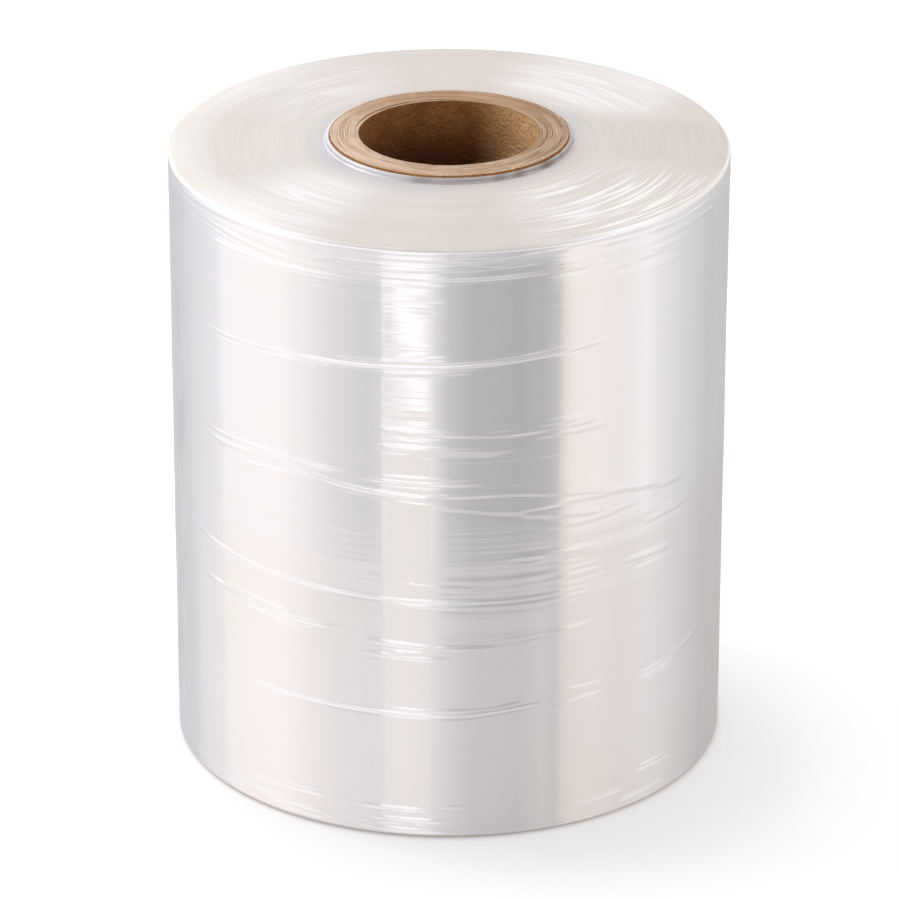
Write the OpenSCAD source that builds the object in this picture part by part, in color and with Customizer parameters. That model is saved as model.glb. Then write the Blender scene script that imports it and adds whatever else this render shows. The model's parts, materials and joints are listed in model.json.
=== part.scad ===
// Stretch wrap roll, standing on its end.
// Clear film is wound tight on a thick board core, and the core stands a little proud at the head.
// Millimetres, +Z up along the roll's axis, origin in the middle of the foot.
// Bearings go round the axis: 0 faces -Y and positive turns towards +X.

/* [Board core] */
// Inside diameter of the core, the usual three-inch bore
core_bore_d = 76.2; // [60:0.1:90]
// Thickness of the wound board wall
core_wall = 12.5; // [8:0.5:15]
// How far the core stands out of the film's rim plane at the head
core_rise = 5.4; // [4.5:0.1:8]
// Thickness of the smooth lining ply next to the bore
lining_t = 1.8; // [1:0.1:2.5]
// Number of board plies outside the lining
ply_count = 10; // [5:1:12]
// Width of the fine line between two plies on the core's ends
ply_line_w = 0.3; // [0.15:0.05:0.4]
// Depth of that line into the end
ply_line_depth = 0.4; // [0.2:0.05:1]
// Depth of the open seam behind the lining ply
lining_seam_depth = 1.2; // [0.5:0.1:2]

/* [Wound film] */
// Outside diameter of the winding
film_od = 237; // [210:1:280]
// Width of the film, which is the height of the winding at its rim
film_w = 267.5; // [220:0.5:320]
// How far the head face climbs from the rim to the collar
face_rise = 2.2; // [0:0.1:2.5]
// Rounding where the head face turns down into the side
rim_round = 2; // [0.5:0.1:4]
// Rounding at the foot
foot_round = 1.4; // [0.5:0.1:3]

/* [Turns on the end faces] */
// Number of bands of turns between the collar and the rim
turn_bands = 16; // [4:1:24]
// Width of the shallow groove between two bands
turn_groove_w = 1.1; // [0.4:0.1:1.6]
// Depth of that groove
turn_groove_depth = 0.35; // [0.1:0.05:0.8]

/* [Collar of inner turns] */
// Thickness of the inner turns that stand up round the core
collar_t = 1.45; // [0.8:0.05:3]
// How far the collar's edge stays below the end of the core
collar_drop = 0.8; // [0.3:0.1:1]
// Hollow rounding between the head face and the collar
collar_fillet = 1; // [0.3:0.1:1]

/* [Folds in the outer turns] */
// Height of a fold above the winding
fold_h = 0.6; // [0.2:0.05:1]
// Width of a fold where it leaves the winding
fold_w = 2.6; // [1.5:0.1:4]
// Distance from the rim plane to the first fold that runs right round
rim_fold_drop = 5.5; // [4.5:0.5:12]
// Distance between the folds that run right round under the rim
rim_fold_pitch = 5.5; // [4.5:0.5:9]
// Number of folds that run right round under the rim
rim_fold_count = 2; // [1:1:3]

/* [Hidden] */

$fn = 180;

bore_r = core_bore_d / 2;
core_r = bore_r + core_wall;
core_len = film_w + core_rise;
film_r = film_od / 2;
collar_r = core_r + collar_t;
collar_top = core_len - collar_drop;
face_top = film_w + face_rise;
ply_t = (core_wall - lining_t) / ply_count;
arc_steps = 5;

// Each fold is [height as a share of the film's width, bearing of its middle,
// half of the angle that it spans, slope in degrees].
folds = [
    [0.80, -22, 54, 2],
    [0.70, 10, 26, 0],
    [0.62, -46, 24, 0],
    [0.59, -14, 22, -8],
    [0.57, 28, 26, -8],
    [0.495, 50, 16, 0],
    [0.415, -14, 48, -1],
    [0.435, 44, 14, 0],
    [0.35, -42, 24, 0],
    [0.33, -4, 16, -3],
    [0.22, -18, 44, 1],
    [0.235, 52, 22, 5],
    [0.05, -38, 22, 0],
    [0.06, 46, 20, 0],
    [0.77, 150, 50, -2],
    [0.54, 120, 36, 3],
    [0.47, -135, 46, 2],
    [0.28, 165, 48, -2],
    [0.13, -160, 34, 2]
];

function lerp(a, b, t) = a + (b - a) * t;

// Quarter round of radius r about centre [x, z], from angle a0 to a1.
function arc(x, z, r, a0, a1) = [
    for (i = [0:arc_steps])
        let (a = lerp(a0, a1, i / arc_steps))
            [x + r * cos(a), z + r * sin(a)]
];

// Face from [r0, z0] to [r1, z1] with shallow grooves between its bands of turns.
// side is 1 where the grooves go down and -1 where they go up.
function turned_face(r0, z0, r1, z1, side) = [
    for (i = [1:turn_bands - 1])
        for (j = [-1:1])
            let (t = i / turn_bands, r = lerp(r0, r1, t) + j * turn_groove_w / 2 * sign(r1 - r0))
                [r, lerp(z0, z1, t) - side * (j == 0 ? turn_groove_depth : 0)]
];

// Folds that run right round under the rim, from the lowest up.
function rim_fold_points() = [
    for (i = [rim_fold_count - 1:-1:0])
        for (j = [-1:1])
            let (z = film_w - rim_fold_drop - i * rim_fold_pitch)
                [film_r + (j == 0 ? fold_h : 0), z + j * fold_w / 2]
];

// Half outline of the winding: foot, side, rim, head face and collar.
module winding() {
    rotate_extrude()
        polygon(concat(
            [[core_r, 0]],
            turned_face(core_r, 0, film_r - foot_round, 0, -1),
            arc(film_r - foot_round, foot_round, foot_round, -90, 0),
            rim_fold_points(),
            arc(film_r - rim_round, film_w - rim_round, rim_round, 0, 90),
            turned_face(film_r - rim_round, film_w, collar_r + collar_fillet, face_top, 1),
            arc(collar_r + collar_fillet, face_top + collar_fillet, collar_fillet, -90, -180),
            [[collar_r, collar_top], [core_r, collar_top]]
        ));
}

// One fold, with a three-cornered section that is half sunk in the winding.
// It is part of a ring that is tighter than the winding and set off to the fold's side,
// so it stands out most in its middle and runs out to nothing at both ends.
module fold(height, bearing, half_span, slope) {
    crest = film_r + fold_h;
    offset_y = (crest * crest - film_r * film_r) / (2 * (crest - film_r * cos(half_span)));
    ring_r = crest - offset_y;
    sweep = asin(film_r * sin(half_span) / ring_r) + 2;
    translate([0, 0, height])
        rotate([0, 0, bearing])
            rotate([0, -slope, 0])
                translate([0, -offset_y, 0])
                    rotate([0, 0, -90 - sweep])
                        rotate_extrude(angle = 2 * sweep)
                            polygon([
                                [ring_r - 2 * fold_h, -fold_w],
                                [ring_r, 0],
                                [ring_r - 2 * fold_h, fold_w]
                            ]);
}

// Outline of a groove in an end face, cut from plane z towards the inside.
module ply_groove(r, z, depth, side) {
    polygon([
        [r - ply_line_w / 2, z + side],
        [r - ply_line_w / 2, z],
        [r, z - side * depth],
        [r + ply_line_w / 2, z],
        [r + ply_line_w / 2, z + side]
    ]);
}

module ply_lines(z, side) {
    ply_groove(bore_r + lining_t, z, lining_seam_depth, side);
    for (i = [1:ply_count - 1])
        ply_groove(bore_r + lining_t + i * ply_t, z, ply_line_depth, side);
}

module film_roll() {
    color([0.91, 0.91, 0.9])
        union() {
            winding();
            for (f = folds)
                fold(f[0] * film_w, f[1], f[2], f[3]);
        }
}

module board_core() {
    color([0.76, 0.6, 0.44])
        rotate_extrude()
            difference() {
                translate([bore_r, 0])
                    square([core_wall, core_len]);
                ply_lines(core_len, 1);
                ply_lines(0, -1);
            }
}

film_roll();
board_core();
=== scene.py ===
# %% [markdown]
# # A roll of stretch wrap, standing on its end
#
# The real thing is one long web of clear film, wound tight on a brown board core.
# The sizes come from a finished model, which is loaded first and never moved.
# This lesson dresses it: it rebuilds the film with its turns and folds and the core with its layers
# of board, and then lights both like a photograph.

# %% Load the fixed model
import json
from math import cos, pi, radians, sin

import bpy
import numpy as np
from mathutils import Matrix, Vector


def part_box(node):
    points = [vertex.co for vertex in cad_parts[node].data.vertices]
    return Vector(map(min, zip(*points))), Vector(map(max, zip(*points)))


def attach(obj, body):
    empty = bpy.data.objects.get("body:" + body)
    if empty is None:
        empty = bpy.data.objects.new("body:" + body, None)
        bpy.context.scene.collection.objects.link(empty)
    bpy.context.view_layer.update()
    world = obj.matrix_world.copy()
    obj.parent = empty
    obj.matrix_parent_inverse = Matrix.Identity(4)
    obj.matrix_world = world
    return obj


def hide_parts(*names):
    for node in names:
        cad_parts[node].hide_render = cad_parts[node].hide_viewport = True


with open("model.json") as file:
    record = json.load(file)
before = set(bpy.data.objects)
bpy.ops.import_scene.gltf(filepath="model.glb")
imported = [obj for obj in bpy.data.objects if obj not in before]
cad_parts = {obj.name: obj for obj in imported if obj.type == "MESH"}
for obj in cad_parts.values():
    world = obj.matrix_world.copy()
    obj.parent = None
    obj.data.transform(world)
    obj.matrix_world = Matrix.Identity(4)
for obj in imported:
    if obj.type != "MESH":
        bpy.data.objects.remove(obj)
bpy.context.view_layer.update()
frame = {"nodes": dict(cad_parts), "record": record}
print("nodes in the model:", sorted(frame["nodes"]))

# %% [markdown]
# ## Sizes
#
# Blender works in metres, so a millimetre is given a name.
# The main sizes are read from the model, because a number typed twice can disagree with itself.
# The bore's radius stands in its record, and the rest comes from boxes round its parts.
# Only the small steps and rounds that no box shows are typed here, as the model has them.

# %% Read the sizes
MM = 0.001
FOLD_HEIGHT = 0.6 * MM
CORE_RISE = 5.4 * MM
FACE_RISE = 2.2 * MM
RIM_ROUND = 2.0 * MM
FOOT_ROUND = 1.4 * MM
COLLAR = 1.45 * MM
COLLAR_FILLET = 1.0 * MM

bore_mount = [m for m in frame["record"]["mounts"] if m["name"] == "core_bore"][0]
bore_r = bore_mount["dims"]["r_mm"] * MM
core_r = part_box("board_core")[1].x
core_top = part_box("board_core")[1].z
collar_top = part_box("film_roll")[1].z
film_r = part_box("film_roll")[1].x - FOLD_HEIGHT
film_top = core_top - CORE_RISE
collar_r = core_r + COLLAR
print(f"film {2 * film_r / MM:.1f} mm across and {film_top / MM:.1f} mm high, bore {2 * bore_r / MM:.1f} mm")

# %% [markdown]
# ## Camera
#
# The camera stands far back with a long lens, so the roll's sides stay nearly parallel.
# Its focal length is 5496 pixels where the picture is 900 wide.
# It looks at the middle of the film, and three turns of under a fifth of a degree fit it to the photograph.

# %% Place the camera
PICTURE = 900
FOCAL_PIXELS = 5496
SENSOR = 36
CAMERA_DISTANCE = 20 * film_r
LOOK_DOWN = radians(24.0)
PAN, TILT, ROLL = radians(-0.014), radians(-0.167), radians(0.065)


def add_object(name, data):
    """Puts a mesh, lamp or camera into the scene as a new object."""
    made = bpy.data.objects.new(name, data)
    bpy.context.scene.collection.objects.link(made)
    return made


camera_data = bpy.data.cameras.new("camera")
camera_data.sensor_width = SENSOR
camera_data.lens = SENSOR * FOCAL_PIXELS / PICTURE
camera = add_object("camera", camera_data)
bpy.context.scene.camera = camera
eye = Vector((0, -CAMERA_DISTANCE * cos(LOOK_DOWN), film_top / 2 + CAMERA_DISTANCE * sin(LOOK_DOWN)))
turn = Matrix.Rotation(PAN, 4, "Z") @ Matrix.Rotation(pi / 2 - LOOK_DOWN + TILT, 4, "X")
camera.matrix_world = Matrix.Translation(eye) @ turn @ Matrix.Rotation(ROLL, 4, "Z")
print(f"camera {eye.length:.2f} m away, lens {camera_data.lens:.0f} mm")

# %% [markdown]
# ## Soft random numbers that close on themselves
#
# Wrinkles in a wound film are long round the roll and short along its axis.
# Random numbers on a coarse grid, blended smoothly in between, give that look.
# The grid wraps round, so that the pattern has no seam where bearing 360 meets bearing 0.
# One seeded generator makes every run the same.

# %% Noise that wraps round the roll
chance = np.random.default_rng(7)


def fade(t):
    """Eases from 0 to 1 as t goes from 0 to 1, and stays flat outside."""
    t = np.clip(t, 0, 1)
    return t * t * (3 - 2 * t)


def turn_from(middle, around):
    """How far each bearing lies from a middle one, in degrees from -180 to 180."""
    return (around - middle + 180) % 360 - 180


def wrapped_noise(across, around, cells_round, cell):
    """A value from -1 to 1 for each place. across has a column for each bearing."""
    rows = int((across.max() - across.min()) / cell) + 3
    lattice = chance.uniform(-1, 1, (rows, cells_round))
    u = np.broadcast_to((around / 360 % 1) * cells_round, across.shape)
    v = (across - across.min()) / cell
    left, below = np.floor(u).astype(int), np.floor(v).astype(int)
    du, dv = fade(u - left), fade(v - below)
    left, right = left % cells_round, (left + 1) % cells_round
    low = lattice[below, left] * (1 - du) + lattice[below, right] * du
    high = lattice[below + 1, left] * (1 - du) + lattice[below + 1, right] * du
    return low * (1 - dv) + high * dv


def ripples(across, around, layers):
    """Layers of noise, in metres. Each is the cells round, the size of a cell and the height, both in mm."""
    total = np.zeros(across.shape)
    for cells_round, cell, height in layers:
        total += wrapped_noise(across, around, cells_round, cell * MM) * height * MM
    return total


# %% [markdown]
# ## The folds in the outer turns
#
# Stretched film puckers as it is wound, and a pucker sets into a fine fold that runs partly round the roll.
# It could be drawn in the material, but it is a ridge that glints, so it goes into the mesh.
# Each long fold is its size and a list of places on its way: a bearing in degrees and a height in mm.
# Bearing 0 faces the camera, and positive bearings lie to its right.
# A fold of size 1 would be as high as FOLD_STRENGTH says below. The first list holds the five longest.

# %% List the long folds
GUIDE_FOLDS = [
    (0.42, [(-54, 58), (-40, 57.8), (-26, 58.2), (-12, 58), (2, 57.4), (18, 60.6), (24, 61)]),
    (0.42, [(-82, 119), (-68, 116.8), (-56, 113.6), (-40, 112),
            (-24, 111.2), (-6, 110.2), (14, 109.8), (30, 110.6)]),
    (0.42, [(-60, 166), (-51, 166), (-42, 167.4), (-31, 167), (-21, 166.4)]),
    (0.40, [(-62, 211), (-50, 211.6), (-32, 214), (-13, 215), (2, 216), (31, 220), (35, 220.6)]),
    (0.24, [(-70, 259.4), (-56, 259), (-38, 255.6), (-14, 254.6), (6, 254.2), (26, 255.6)]),
]
OTHER_FOLDS = [
    (0.28, [(-24, 216.5), (-8, 217.6), (8, 218.8), (24, 222)]),
    (0.22, [(-14, 212), (-2, 213), (6, 214)]),
    (0.40, [(-17, 187.4), (-2, 186), (10, 185), (33, 186)]),
    (0.40, [(-16, 179.4), (0, 178.8), (14, 178)]),
    (0.22, [(6, 191), (15, 189), (28, 188)]),
    (0.22, [(16, 183), (26, 182.5), (34, 183)]),
    (0.30, [(-80, 169), (-71, 164.5)]),
    (0.36, [(-60, 163), (-52, 162), (-44, 163.5)]),
    (0.45, [(-47, 158), (-39, 159), (-28, 159.6)]),
    (0.60, [(-36, 164.2), (-25, 160.8), (-15, 158.6), (-2, 156.4)]),
    (0.40, [(-17, 164.4), (-8, 164), (6, 163.6)]),
    (0.26, [(-4, 154), (10, 150.6), (22, 146), (34, 143)]),
    (0.24, [(-6, 158), (12, 158.6), (24, 155.4), (46, 148)]),
    (0.26, [(12, 150), (26, 151.6), (38, 150)]),
    (0.22, [(20, 141), (30, 140.6), (40, 143)]),
    (0.50, [(40, 150), (48, 146), (56, 144)]),
    (0.60, [(46, 132), (58, 132.6)]),
    (0.44, [(14, 129), (29, 128.4)]),
    (0.22, [(-16, 122), (-8, 117), (4, 116)]),
    (0.26, [(-2, 119.6), (8, 119.2), (20, 119.5), (32, 121)]),
    (0.26, [(-12, 108.4), (2, 107.6), (18, 107), (30, 108.6)]),
    (0.50, [(21, 116), (31, 117.4)]),
    (0.55, [(40, 117), (51, 116)]),
    (0.80, [(-62, 96), (-50, 95.6), (-38, 94.2), (-22, 93.8)]),
    (0.50, [(-46, 91.4), (-36, 90.6), (-28, 90.4)]),
    (0.45, [(-17, 91), (-3, 88.8), (12, 88)]),
    (0.55, [(-16, 84.8), (-2, 83.4)]),
    (0.52, [(22, 92), (30, 93.6)]),
    (0.26, [(-16, 60.8), (-6, 59.4), (8, 59.8), (18, 63)]),
    (0.42, [(22, 57), (34, 60.4)]),
    (0.42, [(22, 64.6), (34, 64.2)]),
    (0.55, [(42, 59.4), (53, 61.4), (66, 69)]),
    (0.45, [(-16, 13.6), (-10, 13), (-3, 12.8)]),
    (0.45, [(-16, 8.4), (-9, 8.2), (-2, 7.6)]),
    (0.36, [(-15, 3.6), (-8, 3.4), (0, 3.2)]),
    (0.55, [(-52, 8), (-38, 7), (-26, 6)]),
    (0.48, [(-46, 13), (-36, 13.6), (-26, 14.6)]),
    (0.42, [(42, 16.6), (53, 16.2)]),
    (0.42, [(38, 5), (52, 7.4)]),
    (0.20, [(20, 9), (32, 10), (44, 12)]),
    (0.36, [(118, 206), (146, 209), (176, 204), (198, 201)]),
    (0.30, [(94, 150), (118, 147), (150, 152)]),
    (0.38, [(196, 126), (222, 128), (250, 131), (268, 128)]),
    (0.34, [(112, 74), (146, 76), (178, 71), (210, 73)]),
    (0.30, [(180, 34), (206, 33), (232, 36)]),
    (0.28, [(150, 176), (172, 178), (190, 176)]),
    (0.28, [(224, 186), (246, 183), (262, 185)]),
    (0.28, [(-82, 262.6), (-62, 264), (-42, 264.4), (-18, 262.8),
            (4, 262.6), (22, 265), (40, 265.4), (60, 264)]),
    (0.28, [(-44, 259.4), (-28, 258.4), (-12, 258), (6, 258.6), (22, 260.6)]),
    (0.28, [(22, 263.4), (36, 262.6), (54, 261.8), (70, 263)]),
    (0.34, [(60, 262), (100, 264), (150, 261.5), (200, 263), (240, 262), (282, 263)]),
    (0.32, [(34, 257), (80, 258), (130, 255), (180, 257.5), (236, 255), (286, 259)]),
]
print(len(GUIDE_FOLDS) + len(OTHER_FOLDS), "long folds")

# %% [markdown]
# Film that lies loosely on the turns below has broad, shallow dents. Each is its bearing and height,
# half its width in degrees, and half its height and its depth in mm. A depth below 0 is a swelling.

# %% List the dents
DENTS = [
    (-82, 226, 4, 12, 0.45), (-79, 184, 4, 7, -0.36), (-82, 152, 4, 12, 0.55), (-78, 128, 3, 7, 0.36),
    (-82, 96, 4, 12, -0.36), (-78, 62, 4, 8, 0.42), (-74, 30, 5, 8, 0.34), (80, 236, 4, 9, -0.36),
    (77, 186, 5, 10, 0.20), (80, 142, 4, 9, -0.24), (74, 104, 5, 12, 0.22), (78, 52, 5, 8, 0.22),
    (134, 120, 9, 14, 0.24), (172, 168, 8, 11, 0.24), (214, 74, 9, 12, 0.24), (246, 212, 8, 10, 0.24),
]
print(len(DENTS), "dents")

# %% [markdown]
# A fold seldom comes alone: a shorter one often runs beside it, and short stray ones lie between.
# Both kinds could be listed too, but they come by chance, because only their look matters.
# Near the rim and the foot the film's edge is slack, so the stray folds crowd there.
# Widths are half those of a fold's ridge, in mm.

# %% Add the folds that come by chance
GUIDE_WIDTH = 0.65
PLAIN_WIDTH = 0.8
SMALLEST_PAIRED = 0.28


def stray_folds(count, lowest, highest, size, span):
    """Short level folds between two heights, in mm. span is half their usual length, in degrees."""
    made = []
    for _ in range(count):
        middle, half = chance.uniform(0, 360), span * chance.uniform(0.4, 1.6)
        height, drift = chance.uniform(lowest, highest), chance.uniform(-1.0, 1.0)
        places = [(middle - half, height - drift), (middle, height), (middle + half, height + drift)]
        made.append((size * chance.uniform(0.3, 1), PLAIN_WIDTH * chance.uniform(0.7, 1.3), places))
    return made


def beside(size, places):
    """A shorter, lower fold that runs along a long one."""
    first, last = places[0][0], places[-1][0]
    start = first + (last - first) * chance.uniform(0.0, 0.4)
    end = last - (last - first) * chance.uniform(0.0, 0.4)
    gap = chance.choice([-1, 1]) * chance.uniform(1.3, 2.2)
    along = np.linspace(start, end, 4)
    heights = np.interp(along, [b for b, h in places], [h for b, h in places])
    return (size * chance.uniform(0.4, 0.8), PLAIN_WIDTH, list(zip(along, heights + gap)))


top_mm = film_top / MM
main_folds = [(size, GUIDE_WIDTH, places) for size, places in GUIDE_FOLDS]
main_folds += [(size, PLAIN_WIDTH, places) for size, places in OTHER_FOLDS]
main_folds += [beside(size, places) for size, places in OTHER_FOLDS if size >= SMALLEST_PAIRED]
small_folds = stray_folds(count=44, lowest=20, highest=top_mm - 20, size=0.10, span=12)
small_folds += stray_folds(count=34, lowest=top_mm - 16, highest=top_mm - 3, size=0.22, span=12)
small_folds += stray_folds(count=30, lowest=2.5, highest=19, size=0.20, span=10)
print(len(main_folds), "long folds and", len(small_folds), "stray ones")

# %% [markdown]
# A fold's places are joined by straight lines, which are then smoothed. Its strength fades at both ends.
# Low on the right the film lies tighter, and the folds there are only half as high.

# %% Follow a fold
ROUND_STEPS = 192
GRID_STEPS = 720
SMOOTHING = 19
FADE_IN, FADE_OUT = 0.15, 0.14
CALM_UP_TO, CALM_EASE = 36, 8
CALM_BELOW = 125 * MM
CALM_SHARE = 0.5
bearings = np.arange(ROUND_STEPS) * 360 / ROUND_STEPS
grid = np.arange(GRID_STEPS) * 360 / GRID_STEPS


def path_heights(places):
    """Heights of a fold at every bearing, in metres, along a smooth curve that closes on itself."""
    rough = np.interp(grid, [b for b, h in places], [h for b, h in places], period=360)
    kernel = np.hanning(SMOOTHING)
    smooth = np.convolve(np.tile(rough, 3), kernel / kernel.sum(), "same")[GRID_STEPS:2 * GRID_STEPS]
    return np.interp(bearings, grid, smooth, period=360) * MM


def fold_path(places):
    """The columns that a fold crosses, its heights there and its strength from 0 to 1."""
    first, last = places[0][0], places[-1][0]
    along = (bearings - first) % 360
    on = np.nonzero(along <= last - first)[0]
    t = along[on] / (last - first)
    heights = path_heights(places)[on]
    right = turn_from(0, bearings[on])
    calm = fade(right / CALM_EASE) * fade((CALM_UP_TO - right) / CALM_EASE) * (heights < CALM_BELOW)
    return on, heights, fade(t / FADE_IN) * fade((1 - t) / FADE_OUT) * (1 - CALM_SHARE * calm)


columns, heights, strength = fold_path(GUIDE_FOLDS[0][1])
print(f"the lowest guide lies {heights.min() / MM:.1f} to {heights.max() / MM:.1f} mm up")

# %% [markdown]
# ## The outline of the winding
#
# A wound roll is a solid of revolution, so its skin is one outline turned round the axis.
# The outline starts at the foot next to the core, runs out, up the side, over the rim,
# in across the head face and up the collar of inner turns, and down again inside.
#
# A fold is thinner than a millimetre, and rows that close would make the mesh far too big.
# So the rows crowd round the longest folds, the guides, and where there are many short ones.
# A row that starts on a guide follows it round the roll, and the rows between two guides share the bend.

# %% Place the rows of the side
SIDE_ROWS = 430
FINE_STEPS = 4000
GUIDE_CROWDING, GUIDE_REACH = 1.6, 2.5 * MM
BUSY_CROWDING = 0.6
BUSY_MIDDLE, BUSY_REACH = 158 * MM, 9 * MM
BUSY_RIM, BUSY_FOOT = 10 * MM, 18 * MM


def side_heights():
    """Heights of the side's rows at each bearing. They crowd round the guides and bend with them."""
    low, high = FOOT_ROUND, film_top - RIM_ROUND
    guides = [path_heights(places) for size, places in GUIDE_FOLDS]
    middles = [guide.mean() for guide in guides]
    fine = np.linspace(low, high, FINE_STEPS)
    density = np.ones(FINE_STEPS)
    for middle in middles:
        density += GUIDE_CROWDING * np.exp(-((fine - middle) / GUIDE_REACH) ** 2)
    busy = (np.abs(fine - BUSY_MIDDLE) < BUSY_REACH) | (fine > high - BUSY_RIM) | (fine < BUSY_FOOT)
    density += BUSY_CROWDING * busy
    share = np.cumsum(density)
    even = np.interp(np.linspace(share[0], share[-1], SIDE_ROWS), share, fine)
    bent = [np.interp(even, [low, *middles, high], [low, *[guide[j] for guide in guides], high])
            for j in range(ROUND_STEPS)]
    return np.stack(bent, 1)


side_z = side_heights()
gaps = np.diff(side_z, axis=0) / MM
print(f"rows of the side lie {gaps.min():.2f} to {gaps.max():.2f} mm apart")

# %% [markdown]
# The outline's other parts have the same rows at every bearing. Each part also states which way
# its surface faces, as a step out and a step up, because the relief moves a point that way.

# %% Build the outline
FACE_ROWS = 50
FOOT_ROWS = 10
ROUND_ROWS = 5
COLLAR_EDGE = 0.3 * MM
COLLAR_GAP = 0.1 * MM


def arc_rows(r, z, radius, start, end):
    """Rows on a round of that radius about (r, z), from one angle in degrees to another."""
    angles = np.radians(np.linspace(start, end, ROUND_ROWS + 2)[1:-1])
    facing = np.stack([np.cos(angles), np.sin(angles)], 1)
    return np.array([r, z]) + radius * facing, facing


def level_rows(radii, heights, up):
    """Rows on an end face, which faces up where up is 1 and down where it is -1."""
    facing = np.tile([0.0, up], (len(radii), 1))
    return np.stack([radii, heights], 1), facing


def upright_rows(points, out):
    """Rows on a wall, which faces away from the axis where out is 1 and towards it where it is -1."""
    return np.array(points), np.tile([out, 0.0], (len(points), 1))


face_z = film_top + FACE_RISE
foot_rs = np.linspace(core_r, film_r - FOOT_ROUND, FOOT_ROWS)
face_rs = np.linspace(film_r - RIM_ROUND, collar_r + COLLAR_FILLET, FACE_ROWS)
face_zs = np.interp(face_rs, [collar_r, film_r - RIM_ROUND], [face_z, film_top])
fillet_r, fillet_z = collar_r + COLLAR_FILLET, face_z + COLLAR_FILLET
fillet_points, fillet_facing = arc_rows(fillet_r, fillet_z, COLLAR_FILLET, 270, 180)
sections = {
    "foot": level_rows(foot_rs, np.zeros(FOOT_ROWS), -1),
    "foot_round": arc_rows(film_r - FOOT_ROUND, FOOT_ROUND, FOOT_ROUND, -90, 0),
    "side": upright_rows(np.stack([np.full(SIDE_ROWS, film_r), side_z[:, 0]], 1), 1),
    "rim_round": arc_rows(film_r - RIM_ROUND, film_top - RIM_ROUND, RIM_ROUND, 0, 90),
    "face": level_rows(face_rs, face_zs, 1),
    "fillet": (fillet_points, -fillet_facing),
    "collar": upright_rows([(collar_r, fillet_z), (collar_r, collar_top - COLLAR_EDGE)], 1),
    "collar_top": level_rows([collar_r - COLLAR_EDGE, core_r + COLLAR_GAP], [collar_top, collar_top], 1),
    "inside": upright_rows([(core_r, collar_top - COLLAR_GAP), (core_r, film_top / 2)], -1),
}


def join_sections(parts):
    """Points, facings and part names of all the rows of an outline."""
    points, facings = [np.concatenate(column) for column in zip(*parts.values())]
    return points, facings, np.repeat(list(parts), [len(rows) for rows, facing in parts.values()])


outline, outline_facing, part_of_row = join_sections(sections)
rows_of = {name: np.nonzero(part_of_row == name)[0] for name in sections}
print(len(outline), "rows in the outline")

# %% [markdown]
# ## Relief of the side and of the end faces
#
# The side gets soft bands that run right round, because film is never equally thick,
# then ripples, crowded wrinkles next to the rim and the foot, the folds and the dents.
# A fold is a ridge with a shallow valley under it.
# The head face gets rings, because each turn of film ends a little higher or lower than the next.

# %% Work out the relief
FOLD_STRENGTH = 0.68 * MM
FOLD_WAVE = 0.3
VALLEY_SHARE, VALLEY_BELOW = 0.4, 1.7
SIDE_RIPPLES = [(1, 16, 0.05), (6, 30, 0.10), (9, 5, 0.02)]
EDGE_WRINKLES = [(8, 3.5, 0.10)]
SLACK_RIM, SLACK_FOOT = 16 * MM, 20 * MM
FACE_RINGS = [(3, 9, 0.12), (2, 2.8, 0.06)]
DEEPEST = 0.8 * MM
HIGHEST = 0.95 * FOLD_HEIGHT


def add_fold(relief, size, width, places):
    """Raises the relief along a fold, whose height wavers a little."""
    on, path, strength = fold_path(places)
    wave = 1 - FOLD_WAVE + FOLD_WAVE * np.cos(np.linspace(0, chance.uniform(8, 24), on.size))
    u = (side_z[:, on] - path[None, :]) / (width * MM)
    ridge = np.exp(-u * u) - VALLEY_SHARE * np.exp(-(u + VALLEY_BELOW) ** 2)
    relief[:, on] += FOLD_STRENGTH * size * (strength * wave)[None, :] * ridge


def side_relief():
    """How far the film stands out of a true cylinder, in metres."""
    relief = ripples(side_z, bearings, SIDE_RIPPLES)
    slack = fade(1 - (film_top - side_z) / SLACK_RIM) + 0.6 * fade(1 - side_z / SLACK_FOOT)
    relief += slack * ripples(side_z, bearings, EDGE_WRINKLES)
    for size, width, places in main_folds + small_folds:
        add_fold(relief, size, width, places)
    for bearing, height, half_angle, half_height, depth in DENTS:
        aside = turn_from(bearing, bearings) / half_angle
        above = (side_z / MM - height) / half_height
        relief -= depth * MM * np.exp(-aside[None, :] ** 2 - above ** 2)
    return np.clip(relief, -DEEPEST, HIGHEST)


def face_relief(radii):
    """How far the ends of the turns stand out of a smooth end face, in metres."""
    across = np.repeat(radii[:, None], ROUND_STEPS, 1)
    return ripples(across, bearings, FACE_RINGS)


film_relief = np.zeros((len(outline), ROUND_STEPS))
film_relief[rows_of["side"]] = side_relief()
film_relief[rows_of["face"]] = face_relief(face_rs)
film_relief[rows_of["foot"]] = -np.abs(face_relief(foot_rs))
print(f"relief from {film_relief.min() / MM:.2f} to {film_relief.max() / MM:.2f} mm")

# %% [markdown]
# The rounds have no relief of their own: it goes over from one neighbour's to the other's.

# %% Blend the relief over the rounds
for name, start, end in (("foot_round", "foot", "side"), ("rim_round", "side", "face")):
    share = np.linspace(0, 1, ROUND_ROWS + 2)[1:-1, None]
    before, after = film_relief[rows_of[start][-1]], film_relief[rows_of[end][0]]
    film_relief[rows_of[name]] = (1 - share) * before + share * after
for step, row in enumerate(rows_of["fillet"]):
    film_relief[row] = film_relief[rows_of["face"][-1]] * (1 - (step + 1) / (ROUND_ROWS + 1))
print("blended over", ROUND_ROWS, "rows each")

# %% [markdown]
# ## Turning an outline into a mesh
#
# Blender has a Screw modifier that turns an outline round an axis.
# Here the points are made directly, because each one is also moved by its own relief.
# A row and the next one are joined by four-sided faces, all the way round.

# %% Make meshes of revolution


def add_mesh(name, points, faces):
    """A new object with a mesh of these points and faces."""
    mesh = bpy.data.meshes.new(name)
    mesh.from_pydata(points, [], faces)
    return add_object(name, mesh)


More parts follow.
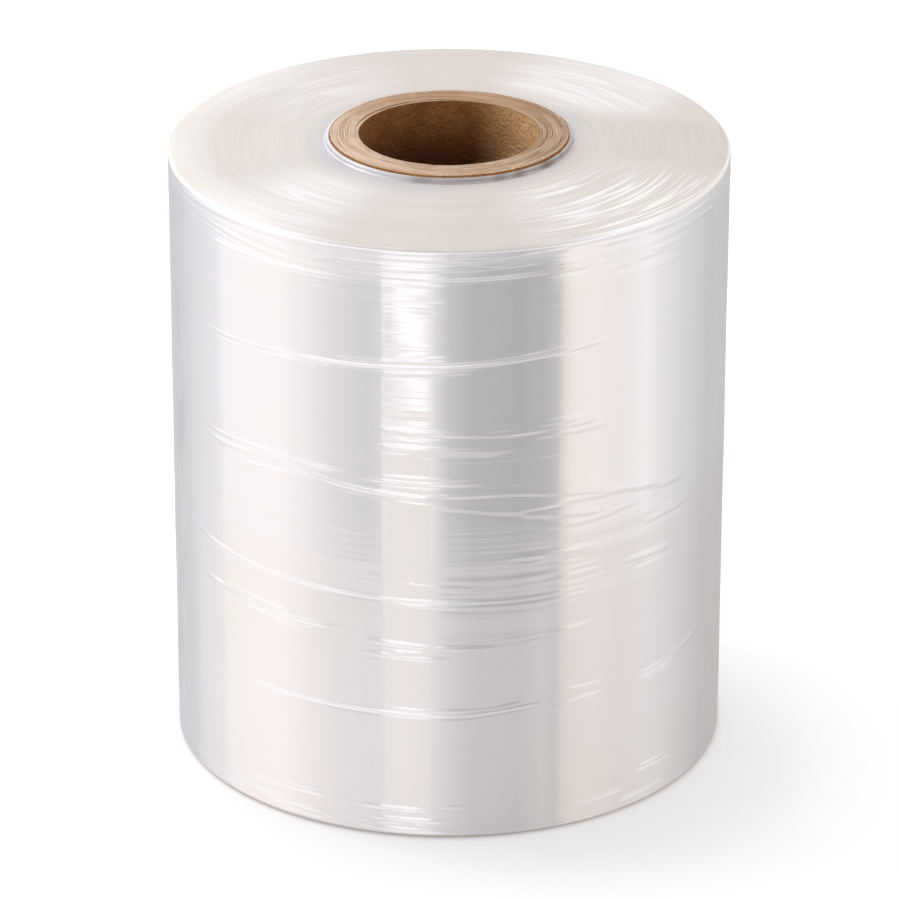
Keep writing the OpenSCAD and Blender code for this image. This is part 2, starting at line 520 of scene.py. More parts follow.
def revolve(name, points, facing, relief, materials, heights=None):
    """A closed mesh of an outline turned round +Z. heights replaces the outline's own where given."""
    rows, steps = relief.shape
    base_up = np.repeat(points[:, 1:], steps, 1) if heights is None else heights
    out = points[:, :1] + relief * facing[:, :1]
    up = base_up + relief * facing[:, 1:]
    angles = np.arange(steps) * 2 * pi / steps
    xyz = np.stack([out * np.sin(angles), -out * np.cos(angles), up], 2).reshape(-1, 3)
    i, j = np.meshgrid(np.arange(rows), np.arange(steps), indexing="ij")
    i_next, j_next = (i + 1) % rows, (j + 1) % steps
    corners = [i * steps + j, i * steps + j_next, i_next * steps + j_next, i_next * steps + j]
    quads = np.stack(corners, 2).reshape(-1, 4)
    made = add_mesh(name, xyz.tolist(), quads.tolist())
    made.data.polygons.foreach_set("use_smooth", np.ones(len(quads), bool))
    made.data.polygons.foreach_set("material_index", np.repeat(materials, steps).astype(np.int32))
    made.data.update()
    print(name, "has", 2 * len(quads), "triangles")
    return made


SIDE, ENDS, INNER = 0, 1, 2
finish_of_part = {"side": SIDE, "fillet": INNER, "collar": INNER, "collar_top": INNER, "inside": INNER}
film_materials = np.array([finish_of_part.get(name, ENDS) for name in part_of_row])
film_heights = np.repeat(outline[:, 1:], ROUND_STEPS, 1)
film_heights[rows_of["side"]] = side_z
film = revolve("wound_film", outline, outline_facing, film_relief, film_materials, film_heights)

# %% [markdown]
# ## The board core
#
# A core is wound from strips of kraft board, glued in a spiral, so its sawn end shows a stack of thin plies.
# The lines between them are dark, and here and there two plies have come apart.
# They could be painted on, but light catches their edges, so they are cut into the mesh.
# The smooth lining next to the bore is a thicker ply, with an open seam behind it at the back left.

# %% Cut the plies into the core's end
CORE_STEPS = 256
PLIES = 10
LINING = 1.8 * MM
LINE_WIDTH, LINE_DEPTH = 0.14, 0.45 * MM
SEAM_WIDTH, SEAM_DEPTH = 0.24 * MM, 1.0 * MM
SEAM_BEARING, SEAM_SPAN = -145, 60
END_FIBRES = [(80, 0.4, 0.06)]
core_bearings = np.arange(CORE_STEPS) * 360 / CORE_STEPS


def ply_relief(radii):
    """Dips between the plies on the sawn end, in metres. The plies run in a slow spiral."""
    across = np.repeat(radii[:, None], CORE_STEPS, 1)
    ply = (core_r - bore_r - LINING) / PLIES
    turns = (across - bore_r - LINING) / ply - core_bearings[None, :] / 360
    turns += 0.25 * wrapped_noise(across, core_bearings, 5, 6 * MM)
    line = np.exp(-((turns - np.round(turns)) / LINE_WIDTH) ** 2)
    open_here = fade(wrapped_noise(across, core_bearings, 20, 1.1 * MM) * 1.6 + 0.25)
    open_here *= 0.75 + 0.25 * np.sin(np.radians(core_bearings))[None, :]
    fibres = ripples(across, core_bearings, END_FIBRES)
    seam = np.exp(-((across - bore_r - LINING) / SEAM_WIDTH) ** 2)
    opened = fade(1 - np.abs(turn_from(SEAM_BEARING, core_bearings)) / SEAM_SPAN)
    return fibres - LINE_DEPTH * line * open_here - SEAM_DEPTH * seam * opened[None, :]


print(f"{PLIES} plies of {(core_r - bore_r - LINING) / PLIES / MM:.2f} mm outside the lining")

# %% [markdown]
# The bore is rough, as the lining crumples a little. Its rows crowd towards the head, where it is seen.
# The sawn end lies a hair lower than the plain model's, so that no fibre stands out of that.

# %% Build the core
CORE_FACE_ROWS = 64
CORE_WALL_ROWS = 120
CORE_EDGE = 0.35 * MM
BORE_CROWDING = 1.8
BORE_CRUMPLE = [(16, 12, 0.22), (44, 5, 0.16), (96, 2.2, 0.10)]
BORE_EASE = 3 * MM
END_DROP = 0.07 * MM
WALL, PLY_END = 0, 1


def crumple_relief(heights):
    """The rough inside of the bore, in metres towards the axis. It is smooth next to the sawn end."""
    across = np.repeat(heights[:, None], CORE_STEPS, 1)
    return ripples(across, core_bearings, BORE_CRUMPLE) * fade((core_top - across) / BORE_EASE)


core_edge_z = core_top - CORE_EDGE
wall_z = core_edge_z - (core_top - 2 * CORE_EDGE) * np.linspace(0, 1, CORE_WALL_ROWS) ** BORE_CROWDING
end_rs = np.linspace(core_r - CORE_EDGE, bore_r + CORE_EDGE, CORE_FACE_ROWS)
core_sections = {
    "foot_end": level_rows([bore_r + CORE_EDGE, core_r - CORE_EDGE], [0, 0], -1),
    "outside": upright_rows([(core_r, CORE_EDGE), (core_r, core_top / 2), (core_r, core_edge_z)], 1),
    "head_end": level_rows(end_rs, np.full(CORE_FACE_ROWS, core_top), 1),
    "bore": upright_rows(np.stack([np.full(CORE_WALL_ROWS, bore_r), wall_z], 1), -1),
}
core_outline, core_facing, core_part = join_sections(core_sections)
core_relief = np.zeros((len(core_outline), CORE_STEPS))
core_relief[core_part == "head_end"] = ply_relief(end_rs) - END_DROP
core_relief[core_part == "bore"] = crumple_relief(wall_z)
core_materials = np.where(core_part == "head_end", PLY_END, WALL)
core = revolve("kraft_board_core", core_outline, core_facing, core_relief, core_materials)

# %% [markdown]
# ## Sums with sockets
#
# A material is a net of nodes, and joining them by hand hides the idea behind them.
# This small class wraps one socket, so that a sum written in Python adds the nodes that work it out.

# %% A socket that can be used in sums


class Wire:
    """One output socket of a node tree, for use in Python sums."""

    def __init__(self, sheet, socket):
        self.sheet = sheet
        self.socket = socket

    def __add__(self, other):
        return self.sheet.sum("ADD", self, other)

    __radd__ = __add__

    def __sub__(self, other):
        return self.sheet.sum("SUBTRACT", self, other)

    def __rsub__(self, other):
        return self.sheet.sum("SUBTRACT", other, self)

    def __mul__(self, other):
        return self.sheet.sum("MULTIPLY", self, other)

    __rmul__ = __mul__

    def __truediv__(self, other):
        return self.sheet.sum("DIVIDE", self, other)

    def __rtruediv__(self, other):
        return self.sheet.sum("DIVIDE", other, self)

    def __pow__(self, other):
        return self.sheet.sum("POWER", self, other)

    def __neg__(self):
        return self * -1

    def __abs__(self):
        return self.sheet.sum("ABSOLUTE", self)

    def above(self, other):
        return self.sheet.sum("GREATER_THAN", self, other)

    def between(self, low, high):
        """0 at or below low, 1 at or above high, and eased in between."""
        settings = {"interpolation_type": "SMOOTHSTEP"}
        sockets = {"Value": self, "From Min": low, "From Max": high}
        return self.sheet.node("ShaderNodeMapRange", settings, sockets)

    def within(self, low, full, falling, high):
        """1 from full to falling, eased to 0 at low and at high."""
        return self.between(low, full) * (1 - self.between(falling, high))


# %% [markdown]
# A sheet is one node tree. One method makes every node: it takes the node's type, its settings
# and what goes into its sockets. The other methods are short names for nodes that come often.

# %% A sheet of nodes


class Sheet:
    """A node tree that is filled in by short calls."""

    def __init__(self, tree):
        self.tree = tree
        tree.nodes.clear()

    def node(self, kind, settings=None, sockets=None, output=0):
        """Adds a node. Its settings are set first, then its sockets get values or links."""
        made = self.tree.nodes.new(kind)
        for name, value in (settings or {}).items():
            if name == "stops":
                self.set_stops(made.color_ramp, value)
            else:
                setattr(made, name, value)
        for name, value in (sockets or {}).items():
            if isinstance(value, Wire):
                self.tree.links.new(value.socket, made.inputs[name])
            else:
                made.inputs[name].default_value = value
        return Wire(self, made.outputs[output]) if len(made.outputs) else made

    def sum(self, operation, *values):
        return self.node("ShaderNodeMath", {"operation": operation}, dict(enumerate(values)))

    @staticmethod
    def set_stops(ramp, stops):
        while len(ramp.elements) < len(stops):
            ramp.elements.new(1.0)
        for element, (position, color) in zip(ramp.elements, stops):
            element.position = position
            element.color = color

    def place(self):
        """Where a point of the surface lies, in metres in the model's frame."""
        return self.node("ShaderNodeTexCoord", None, None, "Object")

    def split(self, vector):
        """The three parts of a vector."""
        first = self.node("ShaderNodeSeparateXYZ", None, {"Vector": vector})
        return [Wire(self, socket) for socket in first.socket.node.outputs]

    def join(self, x, y, z):
        return self.node("ShaderNodeCombineXYZ", None, {"X": x, "Y": y, "Z": z})

    def noise(self, vector, scale=1.0, detail=2.0, roughness=0.5):
        values = {"Vector": vector, "Scale": scale, "Detail": detail, "Roughness": roughness}
        return self.node("ShaderNodeTexNoise", {"noise_dimensions": "3D"}, values)

    def mix(self, factor, a, b):
        """A colour between a and b."""
        return self.node("ShaderNodeMix", {"data_type": "RGBA"}, {"Factor": factor, 6: a, 7: b}, 2)

    def bump(self, height, distance, strength=1.0):
        """A direction for the shader's Normal, as if the surface had this height."""
        values = {"Strength": strength, "Distance": distance, "Height": height}
        return self.node("ShaderNodeBump", None, values)

    def glow(self, color, strength):
        return self.node("ShaderNodeEmission", None, {"Color": color, "Strength": strength})

    def finish(self, shader, target="ShaderNodeOutputMaterial"):
        self.node(target, None, {"Surface": shader})

    def coat(self, sockets):
        """Ends the sheet with the shader that most surfaces use."""
        self.finish(self.node("ShaderNodeBsdfPrincipled", None, sockets))
        print(len(self.tree.nodes), "nodes make this finish")


def new_finish(made, name):
    """Gives an object its next material and returns the material's empty sheet."""
    material = bpy.data.materials.new(name)
    material.use_nodes = True
    made.data.materials.append(material)
    return Sheet(material.node_tree)


# %% [markdown]
# ## Noise that follows the winding
#
# Noise is as wide as it is high, but all marks on a wound film run round the roll.
# So the place that it is read at is squeezed along the axis, or on an end face across the turns.

# %% Two stretched noises


def level_noise(sheet, place, cell_round, cell_up, detail=2.0, shift=0.0):
    """Noise whose patches are cell_round long round the roll and cell_up high."""
    x, y, z = place
    return sheet.noise(sheet.join(x / cell_round + shift, y / cell_round, z / cell_up), 1.0, detail)


def ring_noise(sheet, x, y, radius, cells_round, cells_across, detail):
    """Noise in rings about the axis, with so many cells a metre round them and across them."""
    return sheet.noise(sheet.join(x * cells_round, y * cells_round, radius * cells_across), 1.0, detail)


def distance_out(x, y):
    """How far a point lies from the roll's axis."""
    return (x * x + y * y) ** 0.5


# %% [markdown]
# ## Clear film on the side
#
# Hundreds of clear layers lie on each other. Each one mirrors a little light and lets the rest through,
# so the pile looks milky and silvery at once. Real clear layers would be slow and grainy to render.
# Here a metal share in the shader stands for the mirroring, and the rest is a pale, cloudy plastic.
# Near the rim the film is milkier. Fine streaks round the roll break up the mirror image,
# with wrinkles where the film is slack, and faint dark patches of painted reflection lie along the left
# edge.

# %% Film on the side
FILM_GREY = (0.93, 0.91, 0.945, 1)
FILM_CLOUD = (0.93, 0.91, 0.92, 1)
EDGE_REFLECTION_GREY = (0.60, 0.59, 0.66, 1)
EDGE_REFLECTION_SHARE = 0.3
METAL_SHARE, MILKY_RIM = 0.58, 0.12
SLACK_STREAKS = 0.09


def finish_film_side():
    sheet = new_finish(film, "clear_film_side")
    place = sheet.split(sheet.place())
    x, y, z = place
    streaks = level_noise(sheet, place, 90 * MM, 1.8 * MM, 1.5)
    hairs = level_noise(sheet, place, 40 * MM, 0.5 * MM, 1.0, 5.0)
    cloud = level_noise(sheet, place, 120 * MM, 50 * MM, 3.0).between(0.42, 0.62)
    wander = level_noise(sheet, place, 55 * MM, 5.0 * MM, 1.0, 9.0)
    where = level_noise(sheet, place, 50 * MM, 16 * MM, 1.0, 3.0)
    slack = z.between(film_top - 15 * MM, film_top - 6 * MM) + (1 - z.between(8 * MM, 18 * MM))
    wrinkle = 1 - abs(wander - 0.5).between(0.0, 0.05)
    wrinkle = wrinkle * (where + 0.08 * slack).between(0.60, 0.72) * (0.3 + 0.7 * slack)
    height = streaks * (0.08 + SLACK_STREAKS * slack) + hairs * 0.008 + wrinkle * 0.12
    left_edge = (-x).between(0.915 * film_r, 0.96 * film_r)
    # painted reflection: soft dark patches along the left edge of the side
    painted_edge_reflection = level_noise(sheet, place, 14 * MM, 40 * MM, 2.0, 7.0).between(0.42, 0.68) * left_edge
    near_rim = z.between(film_top - 13 * MM, film_top - 3 * MM)
    sheet.coat({
        "Base Color": sheet.mix(painted_edge_reflection * EDGE_REFLECTION_SHARE, sheet.mix(cloud, FILM_GREY, FILM_CLOUD), EDGE_REFLECTION_GREY),
        "Metallic": METAL_SHARE - MILKY_RIM * near_rim,
        "Roughness": 0.035 + 0.03 * streaks,
        "Normal": sheet.bump(height, 0.35 * MM),
    })


finish_film_side()

# %% [markdown]
# ## The ends of the turns
#
# On the head face only the cut edges of the layers show. They look creamy and a little satiny.
# Like the grooves of a record, they spread light across themselves but not along themselves.
# The shader's anisotropy does that, and a quarter turn sets its direction.
# Rings of slightly different tone stand for turns that were wound tighter or looser.
#
# Such grooves draw a light out into fans. Two cards, hung up below, give them in the mirror image,
# and a part of each is a painted highlight in the colour, with fine rings at the front right.
# The right half has painted shade, the left rim painted light, the rim a painted highlight in front and
# painted shadow behind, and a lavender painted shade lies next to the core. The last millimetre at the foot
# is painted dark brown as a contact shadow, which draws the thin line that the roll stands on.

# %% Film on the end faces
CREAM = (0.61, 0.57, 0.54, 1)
DEEP_CREAM = (0.57, 0.52, 0.48, 1)
RIGHT_SHADE_CREAM = (0.51, 0.46, 0.41, 1)
FOOT_SHADOW_BROWN = (0.14, 0.06, 0.025, 1)
LAVENDER_SHADE = (0.47, 0.45, 0.49, 1)
FAN_HIGHLIGHT = (0.82, 0.80, 0.82, 1)
LEFT_RIM_LIGHT = (0.88, 0.85, 0.83, 1)
RIM_HIGHLIGHT = (1, 0.98, 1, 1)
RIM_SHADOW = (0.42, 0.40, 0.50, 1)


def fan_share(x, y, radius, patches, fine):
    """How much painted highlight the film gets where the head face shows a fan of light."""
    slant = abs(x * y) * 2 / (radius * radius) + 0.3 * (patches - 0.5)
    fans = slant.between(0.45, 1.05) * radius.between(collar_r, collar_r + 25 * MM)
    front_right = x.between(0, 60 * MM) * (-y).between(20 * MM, 60 * MM)
    lit = (x * y / (radius * radius)).between(0.08, 0.40)
    return fans * (0.10 + 0.3 * lit + (0.32 + 0.40 * front_right) * fine)


def finish_film_ends():
    sheet = new_finish(film, "clear_film_ends")
    x, y, z = sheet.split(sheet.place())
    radius = distance_out(x, y)
    turns = ring_noise(sheet, x, y, radius, 9, 1500, 3.0)
    bands = ring_noise(sheet, x, y, radius, 6, 160, 2.0).between(0.3, 0.7)
    fine = ring_noise(sheet, x, y, radius, 26, 750, 3.0).between(0.46, 0.60)
    patches = sheet.noise(sheet.join(x * 14, y * 14, z), 1.0, 1.0).between(0.35, 0.65)
    tone = sheet.mix(bands * 0.5 + patches * 0.5, CREAM, DEEP_CREAM)
    # painted shade: the right half of the head face is darker, less so towards the front
    away = 1 - 0.85 * (-y).between(25 * MM, 90 * MM)
    tone = sheet.mix(x.between(0, 100 * MM) * away * 0.75, tone, RIGHT_SHADE_CREAM)
    # painted highlight: part of each fan of light is painted pale into the colour
    tone = sheet.mix(fan_share(x, y, radius, patches, fine), tone, FAN_HIGHLIGHT)
    # painted light: the left rim of the head face is pale
    lit_left_rim = radius.between(film_r - 22 * MM, film_r - 3 * MM) * (-x).between(40 * MM, 100 * MM)
    tone = sheet.mix(lit_left_rim * 0.38, tone, LEFT_RIM_LIGHT)
    # painted highlight along the outer rim in front, and a painted shadow line along it behind
    rim = radius.between(film_r - 1.6 * MM, film_r - 0.6 * MM) * z.above(film_top / 2)
    rim_share = 0.15 + 0.45 * abs(x).between(35 * MM, 75 * MM)
    behind = y.between(-20 * MM, 20 * MM)
    tone = sheet.mix(rim * rim_share, tone, sheet.mix(behind, RIM_HIGHLIGHT, RIM_SHADOW))
    # painted shade: a lavender-grey ring in the corner next to the collar
    core_shade = 1 - (radius + 0.006 * patches).between(collar_r, collar_r + 17 * MM)
    tone = sheet.mix(core_shade * 0.75, tone, LAVENDER_SHADE)
    sheet.coat({
        # painted contact shadow: the last millimetre at the foot is dark brown
        "Base Color": sheet.mix(z.between(0.1 * MM, 1.1 * MM), FOOT_SHADOW_BROWN, tone),
        "Metallic": 0.3,
        "Roughness": 0.40 + 0.12 * fine,
        "Anisotropic": 0.9,
        "Anisotropic Rotation": 0.25,
        "Normal": sheet.bump(turns * 0.6 + bands * 0.4, 0.12 * MM),
    })


finish_film_ends()

# %% [markdown]
# The innermost turns stand up round the core like a thin collar. The brown board shows through them,
# so they look like dull grey metal. On the left, where the light falls, they are painted pale as a painted
# highlight.

# %% Film of the collar
COLLAR_GREY = (0.41, 0.37, 0.36, 1)
COLLAR_DARK = (0.22, 0.19, 0.18, 1)
COLLAR_LEFT_HIGHLIGHT = (0.80, 0.79, 0.84, 1)


def finish_film_collar():
    sheet = new_finish(film, "clear_film_collar")
    place = sheet.split(sheet.place())
    streaks = level_noise(sheet, place, 12 * MM, 0.6 * MM, 2.0)
    soft = level_noise(sheet, place, 22 * MM, 30 * MM, 2.0, 4.0).between(0.4, 0.6)
    # painted highlight: the collar is pale on its left
    to_left = (-place[0]).between(0, 40 * MM)
    tone = sheet.mix(soft, COLLAR_GREY, COLLAR_DARK)
    sheet.coat({
        "Base Color": sheet.mix(to_left * 0.85, tone, COLLAR_LEFT_HIGHLIGHT),
        "Metallic": 0.6,
        "Roughness": 0.16,
        "Normal": sheet.bump(streaks, 0.1 * MM, 0.6),
    })


finish_film_collar()

# %% [markdown]
# ## Kraft board in the bore
#
# Board is matt, brown and fibrous, and blotchy where glue has soaked in. A picture of board
# could be wrapped on, but it would show a seam, so noise mixes two browns and a bump gives the fibres.
# The bore has painted shade that gets darker as it goes down, and its right wall is painted pale, as painted
# light, where the light falls on it.

# %% Board on the walls
BOARD_BROWN = (0.38, 0.165, 0.045, 1)
BOARD_GLUE = (0.24, 0.086, 0.015, 1)
BORE_DEPTH_SHADE = (0.065, 0.014, 0.001, 1)
BORE_WALL_LIGHT = (0.94, 0.57, 0.28, 1)
DARK_FROM = 29 * MM


def finish_board_wall():
    sheet = new_finish(core, "kraft_board_wall")
    place = sheet.place()
    x, y, z = sheet.split(place)
    blotches = sheet.noise(place, 90.0, 4.0, 0.6).between(0.35, 0.65)
    fibres = sheet.noise(place, 600.0, 4.0, 0.7)
    crumbs = abs(sheet.noise(place, 330.0, 3.0, 0.6) - 0.5).between(0.0, 0.12)
    # painted shade: the bore darkens as it goes down
    depth_shade = 1 - z.between(core_top - DARK_FROM, core_top)
    board = sheet.mix(blotches * 0.6 + fibres * 0.4, BOARD_BROWN, BOARD_GLUE)
    board = sheet.mix(depth_shade * 0.92, board, BORE_DEPTH_SHADE)
    # painted light: the right wall of the bore is pale where the lamp falls on it
    in_bore = 1 - distance_out(x, y).between(bore_r + 2 * MM, bore_r + 4 * MM)
    painted_wall_light = x.between(8 * MM, 36 * MM) * (0.45 + 0.75 * fibres) * in_bore
    sheet.coat({
        "Base Color": sheet.mix(painted_wall_light, board, BORE_WALL_LIGHT),
        "Roughness": 0.7 + 0.15 * fibres,
        "Specular IOR Level": 0.3,
        "Normal": sheet.bump(fibres * 0.25 + crumbs * 0.75, 0.5 * MM),
    })


finish_board_wall()

# %% [markdown]
# The sawn end is paler, with thin dark lines, worn patches and pale flecks of fibre at its outer edge.
# It has painted light on the left and painted shade on the right and at the back, and painted shade almost
# black where the mesh dips between two plies.

# %% Board on the sawn end
END_BROWN = (0.56, 0.40, 0.285, 1)
END_LINE = (0.34, 0.205, 0.12, 1)
END_WORN = (0.56, 0.42, 0.315, 1)
END_LEFT_LIGHT = (0.70, 0.54, 0.41, 1)
END_RIGHT_SHADE = (0.35, 0.23, 0.15, 1)
END_BACK_SHADE = (0.34, 0.19, 0.095, 1)
END_FLECK = (0.85, 0.74, 0.62, 1)
PLY_GAP_SHADE = (0.13, 0.06, 0.022, 1)


def finish_board_end():
    sheet = new_finish(core, "kraft_board_end")
    place = sheet.place()
    x, y, z = sheet.split(place)
    radius = distance_out(x, y)
    lines = ring_noise(sheet, x, y, radius, 40, 2400, 2.0).between(0.40, 0.60)
    worn = sheet.noise(place, 160.0, 2.0).between(0.45, 0.7)
    fibres = sheet.noise(place, 1100.0, 4.0, 0.7)
    flecks = sheet.noise(place, 700.0, 1.0).between(0.62, 0.70) * radius.between(core_r - 4 * MM, core_r)
    board = sheet.mix(lines, END_BROWN, END_LINE)
    board = sheet.mix(worn * 0.5, board, END_WORN)
    # painted light on the left of the sawn end, painted shade on its right and at its back
    board = sheet.mix((-x).between(0, 50 * MM) * 0.4, board, END_LEFT_LIGHT)
    board = sheet.mix(x.between(0, 50 * MM) * 0.7, board, END_RIGHT_SHADE)
    board = sheet.mix(y.between(5 * MM, 45 * MM) * 0.6, board, END_BACK_SHADE)
    board = sheet.mix(flecks * 0.8, board, END_FLECK)
    # painted shade: almost black where the mesh dips into the gaps between plies
    out_of_gap = z.between(core_top - 0.42 * MM, core_top - 0.06 * MM)
    sheet.coat({
        "Base Color": sheet.mix(out_of_gap, PLY_GAP_SHADE, board),
        "Roughness": 0.8,
        "Normal": sheet.bump(fibres + lines, 0.3 * MM, 0.8),
    })


finish_board_end()

# %% [markdown]
# ## A floor
#
# The floor is pale and keeps the roll's soft shadow. Light that makes it white would burn the roll out,
# so part of its white is a glow of its own, stronger far out, where it meets the white background.
# The floor stays out of mirror images, where the film shows the tent that comes next.

# %% Set up the floor
FLOOR_SIZE = 60.0
FLOOR_LEVEL = -0.5 * MM
FLOOR_MATT = (0.56, 0.55, 0.56, 1)
GLOW_NEAR = (0.39, 0.382, 0.39, 1)
GLOW_FAR = (0.60, 0.59, 0.60, 1)


def plane(name, size, height):
    """A level square with its middle on the axis."""
    half = size / 2
    corners = [(-half, -half, height), (half, -half, height), (half, half, height), (-half, half, height)]
    return add_mesh(name, corners, [(0, 1, 2, 3)])


def finish_floor():
    sheet = new_finish(floor, "white_floor")
    x, y, z = sheet.split(sheet.place())
    light = sheet.mix(distance_out(x, y).between(0.5, 3.0), GLOW_NEAR, GLOW_FAR)
    matt = sheet.node("ShaderNodeBsdfDiffuse", None, {"Color": FLOOR_MATT})
    sheet.finish(sheet.node("ShaderNodeAddShader", None, {0: matt, 1: sheet.glow(light, 1.0)}))


floor = plane("floor", FLOOR_SIZE, FLOOR_LEVEL)
finish_floor()
floor.visible_glossy = False
print("floor", FLOOR_SIZE, "m wide")

# %% [markdown]
# ## A light tent
#
# A shiny object shows what stands round it. A picture of a room could be wrapped round the scene,
# but the film's bands come from a studio, so one is built: a round tent of pale and grey panels.
# The film's side mirrors downwards, the steeper the higher the eye is, so the tent reaches far down.
# Each panel is its bearing, its brightness higher up and lower down, and its warmth.
# Bearing 0 lies behind the camera. Two panels close together make a sharp edge.

# %% List the tent's panels
TENT_GAIN = 1.25
TENT_SPLIT = (-0.63, -0.52)
LOWER_WARMTH = 0.9
PANELS = [
    (-180, 0.66, 0.66, 0), (-146, 0.49, 0.53, -1), (-134, 0.54, 0.50, -1),
    (-122, 0.63, 0.66, -0.4), (-107, 0.76, 0.76, 0), (-103, 0.94, 0.89, 0.8), (-88, 0.99, 0.94, 1.0),
    (-70, 1.00, 0.97, 1.2), (-58, 0.85, 0.83, 1.2), (-46, 0.64, 0.73, 0.8), (-32, 0.52, 0.67, 0.4),
    (-26, 0.60, 0.69, 0.4), (-25.4, 1.00, 0.78, 0.8), (-18, 1.24, 0.80, 1.0), (-11, 1.24, 0.77, 1.0),
    (-7.4, 1.10, 0.75, 0.8), (-6.8, 0.72, 0.68, 0.3), (0, 0.37, 0.54, 0.3), (10, 0.20, 0.40, 0.5),
    (28, 0.15, 0.36, 0.7), (38, 0.20, 0.46, 1.0), (43.6, 0.33, 0.41, 1.2), (45.8, 0.60, 0.53, 2.0),
    (50, 0.84, 0.64, 2.6), (60, 0.86, 0.68, 2.2), (74, 0.82, 0.64, 1.6), (86, 0.92, 0.67, 1.0),
    (93, 0.78, 0.66, 0.6), (108, 0.61, 0.53, 0.4), (130, 0.44, 0.38, 0.4), (152, 0.48, 0.43, 0.2),
    (180, 0.58, 0.54, 0),
]


def tint(brightness, warmth):
    """A grey made warmer (above 0) or cooler (below 0)."""
    share = brightness / TENT_GAIN
    return (share * (1 + 0.025 * warmth), share * (1 - 0.01 * warmth), share * (1 - 0.055 * warmth), 1)


def turn_share(degrees):
    """A bearing as a share of a turn. -180 degrees is 0, and 180 is 1."""
    return (degrees + 180) / 360


def panel_ramp(sheet, bearing, level, extra_warmth):
    """The panels' colours round the tent. level is 1 for the upper brightness and 2 for the lower one."""
    stops = [(turn_share(panel[0]), tint(panel[level], panel[3] + extra_warmth)) for panel in PANELS]
    return sheet.node("ShaderNodeValToRGB", {"stops": stops}, {"Fac": bearing})


print(len(PANELS), "panels")

# %% [markdown]
# The bright strip left of the middle is dimmer low down, and has soft grey slats across it higher up.
# All panels are paler above and below the part that the camera sees mirrored, and white at the very top,
# so that a tilted fold glints. In the dark panel the glint is only grey.
# A pale line runs round the front half, at the height that the film just under the rim mirrors.

# %% Colour the tent
STRIP = (-25.74, -25.2, -7.38, -6.66)
GREY_PANELS = (-52.2, -39.6, -27.0, -25.2)
DARK_PANEL = (-5.4, 1.8, 36.0, 48.6)
FRONT_HALF = (-115.2, -100.8, 100.8, 115.2)
RIGHT_FROM = (41.4, 57.6)
SLAT_GREY = (0.36, 0.35, 0.36, 1)
GLINT_WHITE = (1, 1, 1, 1)
GLINT_GREY = (0.64, 0.63, 0.66, 1)


def finish_tent(made):
    sheet = new_finish(made, "tent")
    x, y, z = sheet.split(sheet.place())
    bearing = sheet.sum("ARCTAN2", x, -y) / (2 * pi) + 0.5
    lower = panel_ramp(sheet, bearing, 2, LOWER_WARMTH)
    color = sheet.mix(z.between(*TENT_SPLIT), lower, panel_ramp(sheet, bearing, 1, 0))
    spans = (STRIP, GREY_PANELS, DARK_PANEL, FRONT_HALF)
    strip, grey, dark, front = [bearing.within(*[turn_share(b) for b in span]) for span in spans]
    right = bearing.between(*[turn_share(b) for b in RIGHT_FROM])
    slats = level_noise(sheet, (x, y, z), 900 * MM, 40 * MM, 2.0).between(0.47, 0.57)
    color = sheet.mix(strip * (1 - z.between(-0.475, -0.445)), color, lower)
    color = sheet.mix(0.6 * slats * strip * z.between(-0.47, -0.44), color, SLAT_GREY)
    pale = z.between(-0.30, 0.0) + (1 - z.between(-1.12, -0.93))
    line = z.within(-0.360, -0.335, -0.29, -0.22) * (1 - dark)
    line = line * (1 - 0.7 * grey) * (1 - 0.75 * right) * front
    glint = sheet.mix(dark, GLINT_WHITE, GLINT_GREY)
    color = sheet.mix(0.4 * pale + z.between(0.12, 0.24) + 0.6 * line, color, glint)
    sheet.finish(sheet.glow(color, TENT_GAIN))
    made.active_material.cycles.emission_sampling = "NONE"


print("bright strip from bearing", STRIP[0], "to", STRIP[3])

# %% [markdown]
# The tent is one open ring. Only mirror images see it, so it throws no light and no shadow.

# %% Put up the tent
TENT_RADIUS = 1.6
TENT_LOW, TENT_HIGH = -9.0, 0.5
TENT_STEPS = 96


def only_mirrored(made):
    """Leaves an object to mirror images alone."""
    for kind in ("camera", "diffuse", "transmission", "shadow", "volume_scatter"):
        setattr(made, "visible_" + kind, False)


def make_tent():
    """An open round wall."""
    angles = np.arange(TENT_STEPS) * 2 * pi / TENT_STEPS
    ring = np.stack([TENT_RADIUS * np.sin(angles), -TENT_RADIUS * np.cos(angles)], 1)
    points = [(x, y, z) for z in (TENT_LOW, TENT_HIGH) for x, y in ring]
    pairs = [(i, (i + 1) % TENT_STEPS) for i in range(TENT_STEPS)]
    return add_mesh("tent", points, [(i, j, TENT_STEPS + j, TENT_STEPS + i) for i, j in pairs])


tent = make_tent()
finish_tent(tent)
only_mirrored(tent)
print("tent from", TENT_LOW, "to", TENT_HIGH, "m")

# %% [markdown]
# The head face mirrors what hangs above it, drawn out into fans by its rings of turns.
# A large card high on the left makes the broad fans, and a small, stronger one on the right narrow ones.
# Lamps would light the roll as well, so these are cards that only mirror images see.

# %% Hang two cards above the head
CARD_COLOR = (0.9, 0.94, 1, 1)


def aim(made, place, target):
    """Puts a card or lamp in its place and turns it to face a target."""
    made.location = place
    made.rotation_euler = (Vector(target) - Vector(place)).to_track_quat("-Z", "Y").to_euler()


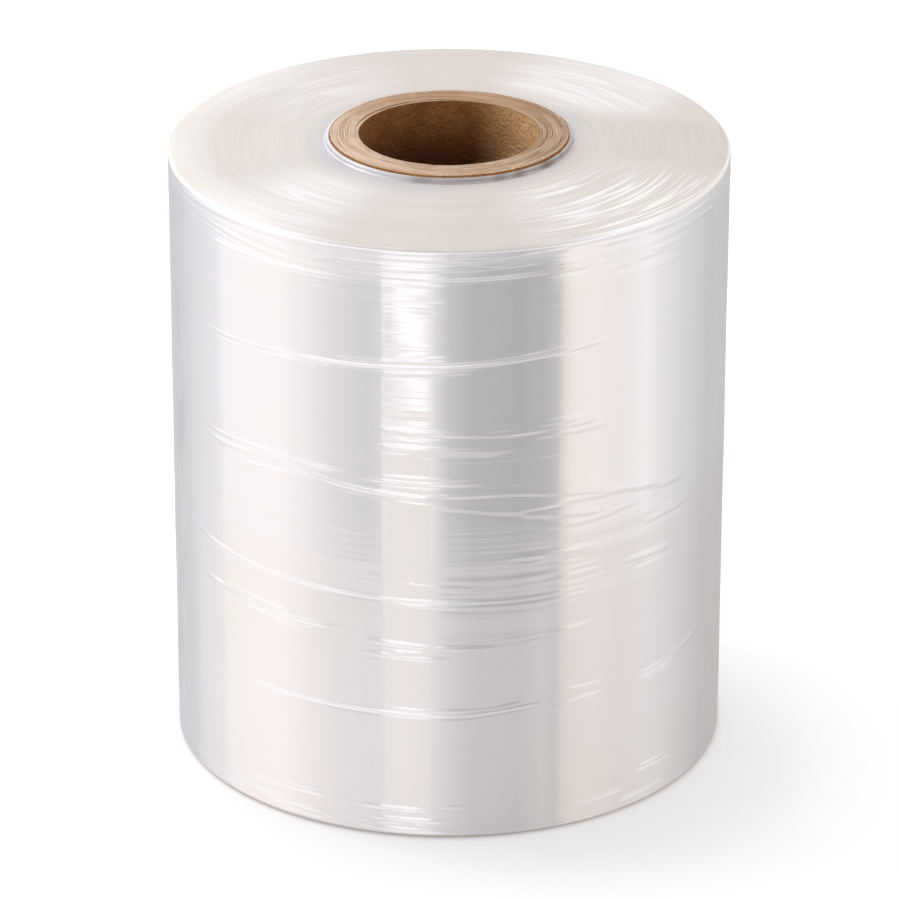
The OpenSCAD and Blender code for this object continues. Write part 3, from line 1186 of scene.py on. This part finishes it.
def card(name, place, size, brightness):
    """A glowing square that faces the roll's foot."""
    made = plane(name, size, 0)
    sheet = new_finish(made, name)
    sheet.finish(sheet.glow(CARD_COLOR, brightness))
    aim(made, place, (0, 0, 0))
    only_mirrored(made)
    print(name, size, "m wide")


card("left_card", (-1.58, 0.26, 1.3), size=0.9, brightness=2.4)
card("right_card", (1.5, -0.1, 1.3), size=0.55, brightness=3.8)

# %% [markdown]
# ## Light
#
# The world gives an even, plain light. The camera, mirror images and clear glass see it as white.
# One large lamp high on the left lights the right wall of the bore,
# and a smaller one overhead gives the short, soft shadow at the foot.
# Mirror images leave the lamps out, because they would show as hard squares in the film.

# %% Set up the world and the lamps
AMBIENT = 0.8
LAMP_TARGET = (0, 0, 0.2)


def set_world():
    world = bpy.data.worlds.new("studio")
    world.use_nodes = True
    bpy.context.scene.world = world
    sheet = Sheet(world.node_tree)
    kinds = ("Is Camera Ray", "Is Glossy Ray", "Is Transmission Ray")
    seen, mirrored, through = [sheet.node("ShaderNodeLightPath", None, None, kind) for kind in kinds]
    strength = AMBIENT + (1 - AMBIENT) * (seen + mirrored + through)
    light = sheet.node("ShaderNodeBackground", None, {"Color": (1, 1, 1, 1), "Strength": strength})
    sheet.finish(light, "ShaderNodeOutputWorld")


def lamp(name, place, size, power):
    """A square lamp that faces the roll."""
    data = bpy.data.lights.new(name, "AREA")
    data.shape = "SQUARE"
    data.size = size
    data.energy = power
    made = add_object(name, data)
    aim(made, place, LAMP_TARGET)
    made.visible_glossy = False
    print(name, "gives", power, "W")


set_world()
lamp("left_lamp", (-2.75, 0.92, 2.9), size=1.6, power=38)
lamp("top_lamp", (-0.24, 0.34, 2.4), size=0.7, power=24)
bpy.context.scene.view_settings.view_transform = "Standard"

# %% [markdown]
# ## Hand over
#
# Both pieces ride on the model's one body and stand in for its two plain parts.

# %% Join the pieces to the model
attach(film, "root")
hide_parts("film_roll")
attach(core, "root")
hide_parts("board_core")
